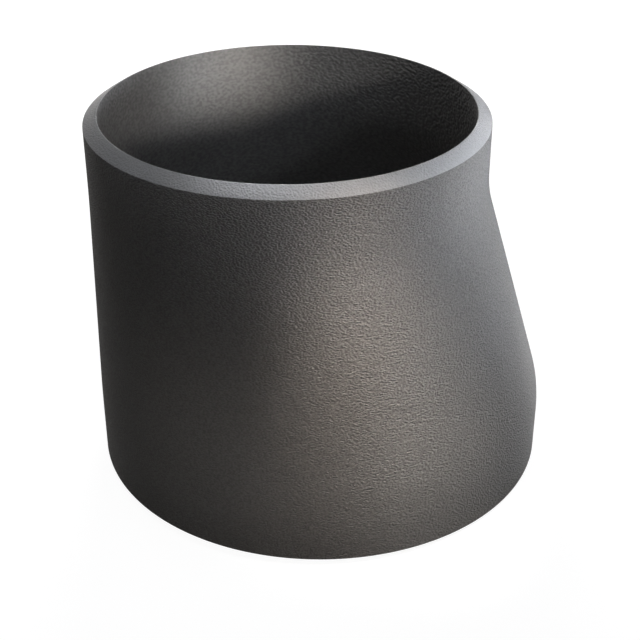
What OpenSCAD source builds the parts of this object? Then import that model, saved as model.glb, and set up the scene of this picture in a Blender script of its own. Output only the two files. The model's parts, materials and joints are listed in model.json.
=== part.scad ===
// Eccentric pipe reducer with weld ends, pressed in one piece from a length of seamless pipe.
// It stands on its large end: the origin is the centre of the large end face and +Z runs to the small end.
// The flat side, which stays in line from end to end, is at -X, and the sloping side is at +X.

/* [Large end] */
// Outside diameter of the large end
large_od = 168.3; // [155:0.1:200]
// Wall of the large end
large_wall = 5.6; // [3:0.1:10]
// Length of the straight pipe at the large end
large_straight = 20; // [12:0.5:35]

/* [Small end] */
// Outside diameter of the small end
small_od = 139.7; // [110:0.1:150]
// Wall of the small end
small_wall = 5; // [3:0.1:10]
// Length of the straight pipe at the small end
small_straight = 20.5; // [12:0.5:35]

/* [Body] */
// Length from end face to end face
body_length = 140; // [120:1:220]
// Radius of the outward bend next to the large end, on the sloping side
shoulder_radius = 47.5; // [20:0.5:80]
// Radius of the inward bend next to the small end, on the sloping side
neck_radius = 45; // [20:0.5:80]

/* [Weld preparation] */
// Angle of the weld bevel, measured from the end face
bevel_angle = 33; // [25:0.5:40]
// Width of the flat root face that the bevel leaves at the bore
root_face = 0.4; // [0.4:0.1:2.4]

/* [Smoothness] */
// Flat sides that make up the round of the pressed cone
cone_sides = 120; // [48:12:144]
// Steps in each bend of the cone
bend_steps = 4; // [3:1:6]

/* [Hidden] */
$fn = 120;

// The cone's ends run this far into the straight ends, where its wall is thinner by this much on each face
lap = 2;
lap_step = 0.05;

// The sloping side is a bend, a straight run and a bend back, and these give its room and its angle
cone_length = body_length - large_straight - small_straight;
offset = large_od - small_od;
bend_room = (pow(offset, 2) + pow(cone_length, 2)) / (2 * offset);
bend_share = min(1, bend_room / (shoulder_radius + neck_radius));
shoulder = shoulder_radius * bend_share;
neck = neck_radius * bend_share;
bends = shoulder + neck;
slope_run = sqrt(max(0, pow(bends - offset, 2) + pow(cone_length, 2) - pow(bends, 2)));
slope_angle = atan2(cone_length, bends - offset) - atan2(slope_run, bends);

// Sections of the cone from bottom to top, each its height and its outside diameter
cone_sections = [
    [large_straight - lap, large_od],
    for (i = [0 : bend_steps])
        let (a = slope_angle * i / bend_steps)
        [large_straight + shoulder * sin(a), large_od - shoulder * (1 - cos(a))],
    for (i = [bend_steps : -1 : 0])
        let (a = slope_angle * i / bend_steps)
        [body_length - small_straight - neck * sin(a), small_od + neck * (1 - cos(a))],
    [body_length - small_straight + lap, small_od],
];

// The wall thins evenly as the diameter falls
function wall_at(od) = small_wall + (large_wall - small_wall) * (od - small_od) / offset;

// Centre of a section, placed so that every section touches the flat side
function centre_x(od) = (od - large_od) / 2;

// Corners of a ring round a section
function ring(radius, od, z) = [
    for (i = [0 : cone_sides - 1])
        let (a = 360 * i / cone_sides)
        [centre_x(od) + radius * cos(a), radius * sin(a), z]
];

function outer_ring(z, od) = ring(od / 2 - lap_step, od, z);

function inner_ring(z, od) = ring((od / 2 - wall_at(od) + lap_step) / cos(180 / cone_sides), od, z);

// Length of straight pipe with its end face at the bottom, bevelled on the outside for welding
module straight_end(od, wall, height) {
    bore_radius = od / 2 - wall;
    bevel_height = (wall - root_face) * tan(bevel_angle);
    rotate_extrude()
        polygon([
            [bore_radius, 0],
            [bore_radius + root_face, 0],
            [od / 2, bevel_height],
            [od / 2, height],
            [bore_radius, height],
        ]);
}

// Pressed cone: a skin over the rings, up the outside and back down the inside
module cone() {
    rings = concat(
        [for (s = cone_sections) outer_ring(s[0], s[1])],
        [for (i = [len(cone_sections) - 1 : -1 : 0]) inner_ring(cone_sections[i][0], cone_sections[i][1])]
    );
    count = len(rings);
    corner = function (r, i) (r % count) * cone_sides + i % cone_sides;
    polyhedron(
        points = [for (r = rings) each r],
        faces = [
            for (r = [0 : count - 1])
                for (i = [0 : cone_sides - 1])
                    [corner(r, i), corner(r + 1, i), corner(r + 1, i + 1), corner(r, i + 1)]
        ]
    );
}

module reducer_body() {
    color("#5b5957")
        union() {
            straight_end(large_od, large_wall, large_straight);
            cone();
            translate([centre_x(small_od), 0, body_length])
                mirror([0, 0, 1])
                    straight_end(small_od, small_wall, small_straight);
        }
}

reducer_body();
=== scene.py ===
# %% [markdown]
# # An eccentric pipe reducer
# This fitting joins a larger pipe to a smaller one. It is pressed from one length of seamless pipe, so it
# is a single piece of steel: a straight end for each pipe, and between them a cone whose one side stays in
# line while the other slopes in. Both ends are bevelled on the outside, ready for welding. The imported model
# is loaded first. It is the frame that everything here is built around, in metres.

# %% Load the frame
import json
from math import atan2, cos, degrees, radians, sin, sqrt, tan

import bpy
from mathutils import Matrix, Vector


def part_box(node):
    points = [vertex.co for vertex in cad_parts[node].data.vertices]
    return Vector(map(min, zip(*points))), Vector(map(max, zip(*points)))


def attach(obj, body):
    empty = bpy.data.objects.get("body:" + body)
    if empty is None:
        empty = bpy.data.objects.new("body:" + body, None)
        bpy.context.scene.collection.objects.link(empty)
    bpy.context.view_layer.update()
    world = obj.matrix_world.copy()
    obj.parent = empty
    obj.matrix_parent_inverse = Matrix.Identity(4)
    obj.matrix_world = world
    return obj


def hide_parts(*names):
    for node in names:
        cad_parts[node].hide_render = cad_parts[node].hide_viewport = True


MM = 0.001


def in_mm(size):
    """Size in millimetres, rounded for printing."""
    return round(size / MM, 2)


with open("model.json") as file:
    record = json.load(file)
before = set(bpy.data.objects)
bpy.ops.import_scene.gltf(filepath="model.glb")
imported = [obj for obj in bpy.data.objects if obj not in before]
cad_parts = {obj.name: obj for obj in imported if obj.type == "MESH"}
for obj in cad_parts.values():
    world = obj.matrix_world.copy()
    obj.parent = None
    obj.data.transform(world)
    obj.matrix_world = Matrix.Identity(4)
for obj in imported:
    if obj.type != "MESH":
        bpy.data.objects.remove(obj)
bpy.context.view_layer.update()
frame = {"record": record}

# %% [markdown]
# ## Sizes
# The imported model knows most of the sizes: its box gives the length and the large diameter, and its two
# bores give the walls, the straight ends and how far the small end is off centre. The radii of the two
# bends, the angle of the weld bevel and the thin face at its root are not in the record, so they are named
# here.

# %% Read the sizes
low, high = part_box("reducer_body")
mounts = {mount["name"]: mount for mount in frame["record"]["mounts"]}
large_bore = mounts["large_end_bore"]["dims"]
small_bore = mounts["small_end_bore"]["dims"]

length = high.z
large_radius = min(high.x - low.x, high.y - low.y) / 2
small_centre = mounts["small_end_bore"]["pos_m"][0]
small_radius = large_radius + small_centre
large_wall = large_radius - large_bore["r_mm"] * MM
small_wall = small_radius - small_bore["r_mm"] * MM
large_straight = large_bore["length_mm"] * MM
small_straight = small_bore["length_mm"] * MM

shoulder_radius = 47.5 * MM
neck_radius = 45 * MM
bevel_angle = radians(33)
root_face = 0.4 * MM

print("large end", in_mm(2 * large_radius), "mm, small end", in_mm(2 * small_radius), "mm,",
      "length", in_mm(length), "mm")

# %% [markdown]
# ## Camera
# The camera stands where the photograph was taken from: left of the front, about 30 degrees up and half a
# metre away, looking a little below the middle of the fitting. A lens length follows from how many pixels
# the picture is wide, because Blender measures it against the width of a sensor.

# %% Place the camera
PICTURE_WIDTH = 640
FOCAL_PIXELS = 1328.3
VIEW_AZIMUTH = radians(-39.814)
VIEW_ELEVATION = radians(30.079)
VIEW_DISTANCE = 497.52 * MM
AIM_DROP = 17.21 * MM
SENSOR_MM = 36
NEAREST_SEEN = 10 * MM

view_right = Vector((cos(VIEW_AZIMUTH), sin(VIEW_AZIMUTH), 0))
view_front = Vector((sin(VIEW_AZIMUTH), -cos(VIEW_AZIMUTH), 0))
view_back = view_front * cos(VIEW_ELEVATION) + Vector((0, 0, sin(VIEW_ELEVATION)))
view_up = view_back.cross(view_right)
aim = Vector((0, 0, length / 2)) - AIM_DROP * view_up

camera_data = bpy.data.cameras.new("camera")
camera_data.sensor_width = SENSOR_MM
camera_data.lens = SENSOR_MM * FOCAL_PIXELS / PICTURE_WIDTH
camera_data.clip_start = NEAREST_SEEN
camera = bpy.data.objects.new("camera", camera_data)
camera.location = aim + VIEW_DISTANCE * view_back
camera.rotation_euler = view_back.to_track_quat("Z", "Y").to_euler()
bpy.context.scene.collection.objects.link(camera)
bpy.context.scene.camera = camera
bpy.context.scene.view_settings.view_transform = "Standard"
print("camera at", [in_mm(side) for side in camera.location], "mm")
print("lens of", round(camera_data.lens, 1), "mm")

# %% [markdown]
# ## The sloping side
# Seen from the side, the sloping line of the cone leaves the large end in an outward bend, runs straight,
# and meets the small end in a bend the other way, so it is tangent to both. Every cross-section is a circle
# that touches the flat side, so one list of heights and diameters describes the whole cone. The straight
# run and its angle follow from the two radii, the length and the offset by plain geometry.

# %% List the sections of the outside
BEND_STEPS = 12
RUN_STEPS = 6

cone_length = length - large_straight - small_straight
offset = 2 * (large_radius - small_radius)
bends = shoulder_radius + neck_radius
slope_run = sqrt((bends - offset) ** 2 + cone_length ** 2 - bends ** 2)
slope_angle = atan2(cone_length, bends - offset) - atan2(slope_run, bends)

shoulder = []
for step in range(BEND_STEPS + 1):
    angle = slope_angle * step / BEND_STEPS
    shoulder.append((large_straight + shoulder_radius * sin(angle),
                     large_radius - shoulder_radius * (1 - cos(angle)) / 2))
neck = []
for step in range(BEND_STEPS, -1, -1):
    angle = slope_angle * step / BEND_STEPS
    neck.append((length - small_straight - neck_radius * sin(angle),
                 small_radius + neck_radius * (1 - cos(angle)) / 2))
run = []
for step in range(1, RUN_STEPS):
    part = step / RUN_STEPS
    run.append((shoulder[-1][0] * (1 - part) + neck[0][0] * part,
                shoulder[-1][1] * (1 - part) + neck[0][1] * part))
cone_sections = shoulder + run + neck
print(len(cone_sections), "sections, sloping at", round(degrees(slope_angle), 1), "degrees")

# %% [markdown]
# ## The pressed shell
# The fitting is one thin wall, so the mesh can be drawn as one ring that travels: up the outside, over the
# bevel at the top, down the inside and round the bevel at the bottom. Spinning a profile would be quicker
# on a straight fitting, but here the centre of the ring moves off to one side as it climbs. So a circle is
# added, and each step extrudes it, slides it to its new centre and scales it to its new radius.

# %% Add the first ring
SIDES = 256

large_bevel = (large_wall - root_face) * tan(bevel_angle)
small_bevel = (small_wall - root_face) * tan(bevel_angle)

bpy.ops.object.select_all(action="DESELECT")
bpy.ops.mesh.primitive_circle_add(vertices=SIDES, radius=large_radius, location=(0, 0, large_bevel))
reducer = bpy.context.active_object
reducer.name = reducer.data.name = "reducer_shell"
bpy.ops.object.transform_apply(location=True, rotation=False, scale=False)
print("first ring at", in_mm(large_bevel), "mm, with", SIDES, "corners")

# %% Know each section's centre and wall


def centre_of(radius):
    """Centre of an outside section of that radius, which touches the flat side."""
    return radius - large_radius


def wall_of(radius):
    """Wall at an outside section of that radius: it thins evenly towards the small end."""
    return small_wall + (large_wall - small_wall) * (radius - small_radius) / (large_radius - small_radius)


print("wall at the large end", in_mm(wall_of(large_radius)), "mm,",
      "at the small end", in_mm(wall_of(small_radius)), "mm")

# %% Carry the ring round the wall
ring = {"centre": 0.0, "height": large_bevel, "radius": large_radius}


def carry_ring(height, radius, inset=0.0):
    """Extrude the selected ring to a height, centred for an outside radius and drawn in by inset."""
    centre = centre_of(radius)
    step = (centre - ring["centre"], 0, height - ring["height"])
    bpy.ops.mesh.extrude_region_move(TRANSFORM_OT_translate={"value": step})
    scale = (radius - inset) / ring["radius"]
    bpy.ops.transform.resize(value=(scale, scale, 1), center_override=(centre, 0, height))
    ring.update(centre=centre, height=height, radius=radius - inset)


bpy.ops.object.mode_set(mode="EDIT")
bpy.ops.mesh.select_all(action="SELECT")
for height, radius in cone_sections:
    carry_ring(height, radius)
carry_ring(length - small_bevel, small_radius)
carry_ring(length, small_radius, small_wall - root_face)
carry_ring(length, small_radius, small_wall)
for height, radius in reversed(cone_sections):
    carry_ring(height, radius, wall_of(radius))
carry_ring(0, large_radius, large_wall)
carry_ring(0, large_radius, large_wall - root_face)
bpy.ops.mesh.select_all(action="DESELECT")
bpy.ops.mesh.select_non_manifold(extend=False)
bpy.ops.mesh.bridge_edge_loops()
bpy.ops.mesh.select_all(action="SELECT")
bpy.ops.mesh.normals_make_consistent(inside=False)
bpy.ops.object.mode_set(mode="OBJECT")
print("shell of", len(reducer.data.polygons), "faces")

# %% [markdown]
# ## Edges
# A machined bevel leaves crisp edges, but no real edge is perfectly sharp: a hair of rounding catches the
# light. The Bevel modifier rounds only the edges where two faces meet at more than 25 degrees, which are
# the edges of the bevels and of the root faces, and leaves the smooth walls alone. The faces are then
# shaded smooth, again by angle.

# %% Soften the edges
EDGE_ROUNDING = 0.1 * MM
ROUNDING_STEPS = 2
SHARP = radians(25)

rounding = reducer.modifiers.new("edge_rounding", "BEVEL")
rounding.limit_method = "ANGLE"
rounding.angle_limit = SHARP
rounding.width = EDGE_ROUNDING
rounding.segments = ROUNDING_STEPS
bpy.ops.object.modifier_apply(modifier=rounding.name)
bpy.ops.object.shade_smooth_by_angle(angle=SHARP)
triangles = sum(len(face.vertices) - 2 for face in reducer.data.polygons)
print("rounded shell of", triangles, "triangles")

# %% [markdown]
# ## Materials
# Colours are written as the hex values that a picture editor shows, and one function turns them to the
# linear values that a shader works in. A second function adds a node, with its settings and with what its
# sockets are linked to or set to, so that each material below reads as a list of its layers.

# %% Colour and node helpers


def linear(hex_colour):
    """Linear RGBA of an sRGB hex colour."""
    parts = [int(hex_colour[i:i + 2], 16) / 255 for i in (1, 3, 5)]
    return [p / 12.92 if p <= 0.04045 else ((p + 0.055) / 1.055) ** 2.4 for p in parts] + [1]


def add_node(tree, kind, sockets=None, **settings):
    """Add a node, set its properties, and link or set its sockets."""
    node = tree.nodes.new(kind)
    for name, value in settings.items():
        setattr(node, name, value)
    for name, value in (sockets or {}).items():
        if isinstance(value, bpy.types.NodeSocket):
            tree.links.new(value, node.inputs[name])
        else:
            node.inputs[name].default_value = value
    return node


def per(size_mm):
    """Texture scale that gives a pattern of that size, on coordinates in metres."""
    return 1 / (size_mm * MM)


print("mid grey is", round(linear("#808080")[0], 3), "in linear light")

# %% [markdown]
# ## Shot-blasted steel skin
# After pressing and heat treatment the scale is blasted off with steel shot. That leaves a dull grey-brown
# skin of tiny overlapping dents. They scatter light so widely that the steel hardly mirrors anything: in
# the photograph its left side is nearly black in a white room. A bright metal shader would mirror that
# room, so the skin is made as a rough dark surface with little shine instead. A noise gives the dents, as
# bump and as a change of tone from dent to dent, and a broad one drifts the colour in soft patches. Real
# dents are a few tenths of a millimetre wide. They are drawn coarser here, and wider than tall, so that
# they show in the render. In the photograph the grain of the bore looks coarser and softer than that of the
# outside, so the bore gets the same skin with wider and shallower dents.

# %% Describe the blasted skin
PATCH_MM = 22
TONE_CHANGE = 0.15

# A plain noise stays mostly between these two.
NOISE_LOW = 0.3
NOISE_HIGH = 0.7

# A Mix node has sockets for numbers, vectors and colours. These are the ones for colours.
COLOUR_A = 6
COLOUR_B = 7
COLOUR_OUT = 2


def blasted_skin(name, dent_mm, depth_mm, squash):
    """Dull steel with dents of that width and depth, and less tall than wide by the squash."""
    material = bpy.data.materials.new(name)
    material.use_nodes = True
    tree = material.node_tree
    tree.nodes.clear()
    place = add_node(tree, "ShaderNodeTexCoord").outputs["Object"]
    squashed = add_node(tree, "ShaderNodeMapping", {"Vector": place, "Scale": (1, 1, squash)}).outputs[0]
    dents = add_node(tree, "ShaderNodeTexNoise", {"Vector": squashed, "Scale": per(dent_mm), "Detail": 0.0})
    patches = add_node(tree, "ShaderNodeTexNoise", {"Vector": place, "Scale": per(PATCH_MM), "Detail": 3.0})
    patch_colour = add_node(tree, "ShaderNodeMix", {
        "Factor": patches.outputs["Fac"], COLOUR_A: linear("#64625f"), COLOUR_B: linear("#6a6866")},
        data_type="RGBA")
    dent_tone = add_node(tree, "ShaderNodeMapRange", {
        "Value": dents.outputs["Fac"], "From Min": NOISE_LOW, "From Max": NOISE_HIGH,
        "To Min": 1 - TONE_CHANGE, "To Max": 1 + TONE_CHANGE})
    skin_colour = add_node(tree, "ShaderNodeVectorMath", {
        0: patch_colour.outputs[COLOUR_OUT], 1: dent_tone.outputs[0]}, operation="MULTIPLY")
    bump = add_node(tree, "ShaderNodeBump", {
        "Height": dents.outputs["Fac"], "Strength": 1.0, "Distance": depth_mm * MM})
    # To the eye: dull and dark, with hardly any shine, and grainy where light rakes across it.
    skin = add_node(tree, "ShaderNodeBsdfPrincipled", {
        "Base Color": skin_colour.outputs[0], "Metallic": 0.0, "Roughness": 0.8,
        "Specular IOR Level": 0.1, "Normal": bump.outputs[0]})
    add_node(tree, "ShaderNodeOutputMaterial", {"Surface": skin.outputs[0]})
    return material


print("blasted skin in patches", PATCH_MM, "mm wide")

# %% Blast the outside and the bore
DENT_MM = 0.8
DENT_DEPTH_MM = 0.8
DENT_SQUASH = 1.8
BORE_DENT_MM = 1.3
BORE_DENT_DEPTH_MM = 0.55
BORE_DENT_SQUASH = 1.4

blasted = blasted_skin("carbon_steel_shot_blasted", DENT_MM, DENT_DEPTH_MM, DENT_SQUASH)
blasted_bore = blasted_skin(
    "carbon_steel_shot_blasted_bore", BORE_DENT_MM, BORE_DENT_DEPTH_MM, BORE_DENT_SQUASH)
print(blasted.name, "and", blasted_bore.name, "with", len(blasted.node_tree.nodes), "nodes each")

# %% [markdown]
# ## Machined weld bevel
# The bevels and root faces are turned on a lathe after blasting, so they are bare steel, paler and smoother
# than the skin. They have dulled since, and in the photograph they are an even matt grey with a light
# speckle. So they get the same kind of surface as the skin, paler, a little shinier and with a shallower
# grain. The grain of a turned face is also too fine for the render, so it is drawn about as coarse as the
# dents.

# %% Make the machined bevel
GRIT_MM = 0.65
GRIT_DEPTH_MM = 0.3

machined = bpy.data.materials.new("carbon_steel_machined")
machined.use_nodes = True
tree = machined.node_tree
tree.nodes.clear()
place = add_node(tree, "ShaderNodeTexCoord").outputs["Object"]
grit = add_node(tree, "ShaderNodeTexNoise", {"Vector": place, "Scale": per(GRIT_MM), "Detail": 0.0})
grit_colour = add_node(tree, "ShaderNodeMix", {
    "Factor": grit.outputs["Fac"], COLOUR_A: linear("#8b8a89"), COLOUR_B: linear("#9a9998")},
    data_type="RGBA")
bump = add_node(tree, "ShaderNodeBump", {
    "Height": grit.outputs["Fac"], "Strength": 1.0, "Distance": GRIT_DEPTH_MM * MM})
# To the eye: an even matt grey, paler than the skin, with a fine speckle.
face = add_node(tree, "ShaderNodeBsdfPrincipled", {
    "Base Color": grit_colour.outputs[COLOUR_OUT], "Metallic": 0.0, "Roughness": 0.7,
    "Specular IOR Level": 0.15, "Normal": bump.outputs[0]})
add_node(tree, "ShaderNodeOutputMaterial", {"Surface": face.outputs[0]})
print(machined.name, "with", len(tree.nodes), "nodes")

# %% [markdown]
# ## Put the finishes on
# Only the bevels and root faces look well up or down. Even at its steepest the cone leans less than 20
# degrees, so the upright part of a face's normal tells machined faces from blasted ones. A blasted face
# whose normal points away from the axis is on the outside, and one whose normal points towards it is in the
# bore.

# %% Give each face its finish
LEVEL_ENOUGH = 0.5

finishes = [blasted, blasted_bore, machined]
for finish in finishes:
    reducer.data.materials.append(finish)
for polygon in reducer.data.polygons:
    outward = polygon.normal.x * polygon.center.x + polygon.normal.y * polygon.center.y
    if abs(polygon.normal.z) > LEVEL_ENOUGH:
        finish = machined
    elif outward > 0:
        finish = blasted
    else:
        finish = blasted_bore
    polygon.material_index = finishes.index(finish)
for index, finish in enumerate(finishes):
    print(sum(polygon.material_index == index for polygon in reducer.data.polygons), "faces of", finish.name)

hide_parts("reducer_body")
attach(reducer, "root")

# %% [markdown]
# ## Floor and background
# The photograph has a plain white ground. The floor and the world show as white to the camera and in
# reflections, by the kind of ray that meets them. All other light meets a dim floor and a dim world, so
# that they don't light the fitting from all round. A part of what the camera sees is the real floor, so the
# soft shadow stays.

# %% Lay the floor
FLOOR_SIZE = 8
FLOOR_GLOW = 0.95


def seen_directly(tree):
    """Output that is 1 for camera, reflected and transmitted rays, and 0 for all others."""
    path = add_node(tree, "ShaderNodeLightPath").outputs
    mirrored = add_node(tree, "ShaderNodeMath", {
        0: path["Is Glossy Ray"], 1: path["Is Transmission Ray"]}, operation="ADD")
    return add_node(tree, "ShaderNodeMath", {
        0: path["Is Camera Ray"], 1: mirrored.outputs[0]}, operation="ADD", use_clamp=True).outputs[0]


bpy.ops.object.select_all(action="DESELECT")
bpy.ops.mesh.primitive_plane_add(size=FLOOR_SIZE)
floor = bpy.context.active_object
floor.name = "studio_floor"
floor_paint = bpy.data.materials.new("studio_floor_paint")
floor_paint.use_nodes = True
tree = floor_paint.node_tree
tree.nodes.clear()
pale = add_node(tree, "ShaderNodeBsdfDiffuse", {"Color": linear("#707070")})
glow = add_node(tree, "ShaderNodeEmission", {"Color": linear("#ffffff"), "Strength": FLOOR_GLOW})
lit = add_node(tree, "ShaderNodeAddShader", {0: pale.outputs[0], 1: glow.outputs[0]})
shown = add_node(tree, "ShaderNodeMixShader", {
    0: seen_directly(tree), 1: pale.outputs[0], 2: lit.outputs[0]})
add_node(tree, "ShaderNodeOutputMaterial", {"Surface": shown.outputs[0]})
floor.data.materials.append(floor_paint)
print("floor of", round(floor.dimensions.x, 1), "m")

# %% Make the world white to the camera
ROOM_GLOW = 0.01

world = bpy.data.worlds.new("studio")
bpy.context.scene.world = world
world.use_nodes = True
tree = world.node_tree
tree.nodes.clear()
dim = add_node(tree, "ShaderNodeBackground", {"Color": linear("#ffffff"), "Strength": ROOM_GLOW})
white = add_node(tree, "ShaderNodeBackground", {"Color": linear("#ffffff"), "Strength": 1.0})
shown = add_node(tree, "ShaderNodeMixShader", {
    0: seen_directly(tree), 1: dim.outputs[0], 2: white.outputs[0]})
add_node(tree, "ShaderNodeOutputWorld", {"Surface": shown.outputs[0]})
print(world.name, "world with", len(tree.nodes), "nodes")

# %% [markdown]
# ## Studio lights
# Dull dark steel shows its form only where light is laid on it, so this is lit as a small studio does it.
# Softboxes, which are wide discs of light, give the even light from above and from behind. Snoots are spot
# lamps with a narrow soft-edged cone: each lays one pool of light on one spot. A snoot with a small mouth,
# called a pencil here, keeps its pool tight. Every lamp is given as a turn to the right of the camera and a
# climb above the horizon, both seen from the spot that it is aimed at. A climb below zero puts the lamp
# lower than its spot.

# %% Point at a spot on the wall


def direction(turn, climb=0.0):
    """Direction turned right of the camera and raised above the horizon, in degrees."""
    turn, climb = radians(turn), radians(climb)
    return (view_front * cos(turn) + view_right * sin(turn)) * cos(climb) + Vector((0, 0, sin(climb)))


def wall_spot(turn, height, inside=False):
    """Point on the wall at a turn from the camera and a height, on its outside or its inside."""
    radius = small_radius if height > length - small_straight else large_radius
    for below, above in zip(cone_sections, cone_sections[1:]):
        if below[0] <= height <= above[0]:
            part = (height - below[0]) / (above[0] - below[0])
            radius = below[1] + part * (above[1] - below[1])
    reach = radius - wall_of(radius) if inside else radius
    return Vector((centre_of(radius), 0, height)) + reach * direction(turn)


middle = Vector((0, 0, length / 2))
print("middle at", [in_mm(side) for side in middle], "mm")

# %% Hang the softboxes
COOL = "#e8f1ff"
DAYLIGHT = "#f4f8ff"
WARM = "#fff2e8"
WHITE = "#fffcfa"
SOFTBOX_AWAY = 900 * MM
SOFTBOX_WIDTH = 350 * MM


def hang(name, kind, spot, away, distance, watts, colour):
    """Hang a lamp away from a spot, facing it, hidden from the camera."""
    data = bpy.data.lights.new(name, kind)
    data.energy = watts
    data.color = linear(colour)[:3]
    lamp = bpy.data.objects.new(name, data)
    lamp.location = spot + distance * away
    lamp.rotation_euler = away.to_track_quat("Z", "Y").to_euler()
    lamp.visible_camera = False
    bpy.context.scene.collection.objects.link(lamp)
    return data


def hang_softbox(name, turn, climb, watts, colour):
    """Hang a softbox that faces the middle of the fitting."""
    data = hang(name, "AREA", middle, direction(turn, climb), SOFTBOX_AWAY, watts, colour)
    data.shape = "DISK"
    data.size = SOFTBOX_WIDTH


hang_softbox("top_softbox", turn=0, climb=80, watts=2, colour=DAYLIGHT)
hang_softbox("left_back_softbox", turn=-150, climb=5, watts=2, colour=WHITE)
hang_softbox("back_softbox", turn=180, climb=5, watts=12, colour=WHITE)
print("softboxes", in_mm(SOFTBOX_WIDTH), "mm wide,", in_mm(SOFTBOX_AWAY), "mm away")

# %% [markdown]
# ### The front
# A soft bright band runs down the front, a little right of the middle. It is lit from high up, so the light
# rakes down the wall and each dent shows as a small lit edge over a small shadow. A faint snoot low on the
# left keeps that side from going black.

# %% Light the front
SNOOT_AWAY = 500 * MM
SNOOT_MOUTH = 50 * MM
PENCIL_MOUTH = 15 * MM
SOFT_EDGE = 1.0


def hang_snoot(name, spot, turn, climb, watts, colour, cone, mouth=SNOOT_MOUTH):
    """Hang a snoot with that cone in degrees and mouth radius, aimed at a spot."""
    data = hang(name, "SPOT", spot, direction(turn, climb), SNOOT_AWAY, watts, colour)
    data.spot_size = radians(cone)
    data.spot_blend = SOFT_EDGE
    data.shadow_soft_size = mouth


hang_snoot("front_neck_pencil", wall_spot(18, 111 * MM),
           turn=20, climb=60, watts=9, colour=WARM, cone=6, mouth=PENCIL_MOUTH)
hang_snoot("front_high_pencil", wall_spot(16, 80 * MM),
           turn=20, climb=66, watts=10, colour=WARM, cone=6, mouth=PENCIL_MOUTH)
hang_snoot("front_middle_pencil", wall_spot(15, 62 * MM),
           turn=18, climb=66, watts=10, colour=WARM, cone=9, mouth=PENCIL_MOUTH)
hang_snoot("front_low_pencil", wall_spot(31, 34 * MM),
           turn=20, climb=66, watts=16.5, colour=WHITE, cone=9, mouth=PENCIL_MOUTH)
hang_snoot("left_snoot", wall_spot(-8, 43 * MM),
           turn=-20, climb=15, watts=6, colour=WHITE, cone=10)
print("front snoots", in_mm(SNOOT_AWAY), "mm away")

# %% [markdown]
# ### The right side
# Cool light from the right draws the neck, where the wall bends in, and the heel of the slope below it. The
# neck snoot hangs level with what it lights, so that hardly any of it falls over the rim into the mouth. A
# pencil that looks up from a little lower lifts the wall just under the bevel and misses the mouth too. The
# heel snoot is aimed just round the right edge, so the wall fades softly from the edge towards the front.

# %% Light the right side
hang_snoot("neck_snoot", wall_spot(74, 122 * MM),
           turn=80, climb=0, watts=34, colour=COOL, cone=12)
hang_snoot("neck_pencil", wall_spot(62, 134 * MM),
           turn=65, climb=-10, watts=9, colour=DAYLIGHT, cone=7, mouth=PENCIL_MOUTH)
hang_snoot("heel_snoot", wall_spot(95, 42 * MM),
           turn=97, climb=5, watts=54, colour=DAYLIGHT, cone=11)

# %% [markdown]
# ### The mouth
# Inside, the back wall glows on the left where light comes in low over the front rim, and the rest falls
# off into the dark. Two snoots with wide mouths blur the shadow of the rim, and two pencils bring the glow
# up close to the edge. A weak snoot from the front keeps the dark part from going black.

# %% Light the mouth
WIDE_MOUTH = 80 * MM
GLOW_HEIGHT = 135 * MM


def mouth_spot(turn, height):
    """Point on the inside wall at a turn from the camera and a height."""
    return wall_spot(turn, height, inside=True)


hang_snoot("mouth_back_snoot", mouth_spot(198, 125 * MM),
           turn=35, climb=12, watts=36, colour=WHITE, cone=8, mouth=WIDE_MOUTH)
hang_snoot("mouth_left_snoot", mouth_spot(230, 122 * MM),
           turn=35, climb=26, watts=19, colour=COOL, cone=6, mouth=WIDE_MOUTH)
hang_snoot("mouth_front_snoot", mouth_spot(172, 118 * MM),
           turn=0, climb=30, watts=1, colour=COOL, cone=13)
hang_snoot("mouth_back_pencil", mouth_spot(198, GLOW_HEIGHT),
           turn=20, climb=20, watts=14, colour=WHITE, cone=5, mouth=PENCIL_MOUTH)
hang_snoot("mouth_left_pencil", mouth_spot(215, 132 * MM),
           turn=34, climb=20, watts=13, colour=DAYLIGHT, cone=4, mouth=PENCIL_MOUTH)
print("mouth lit from", in_mm(length - GLOW_HEIGHT), "mm below the rim")

# %% [markdown]
# ### The rim
# The bevel faces up and out. Its front is lit by a pencil from behind, over the mouth: that light rakes
# across the bevel, so its grain shows, and it can't reach the upright wall below. Its right side is lit by
# a pencil from nearly overhead, which hardly touches the wall either.

# %% Light the rim
RIM_HEIGHT = length - small_bevel / 2

hang_snoot("rim_front_pencil", wall_spot(-5, RIM_HEIGHT),
           turn=175, climb=52, watts=16.5, colour=DAYLIGHT, cone=6, mouth=PENCIL_MOUTH)
hang_snoot("rim_right_pencil", wall_spot(80, RIM_HEIGHT),
           turn=80, climb=82, watts=7.5, colour=WHITE, cone=4, mouth=PENCIL_MOUTH)
print(len(bpy.data.lights), "lamps in all")
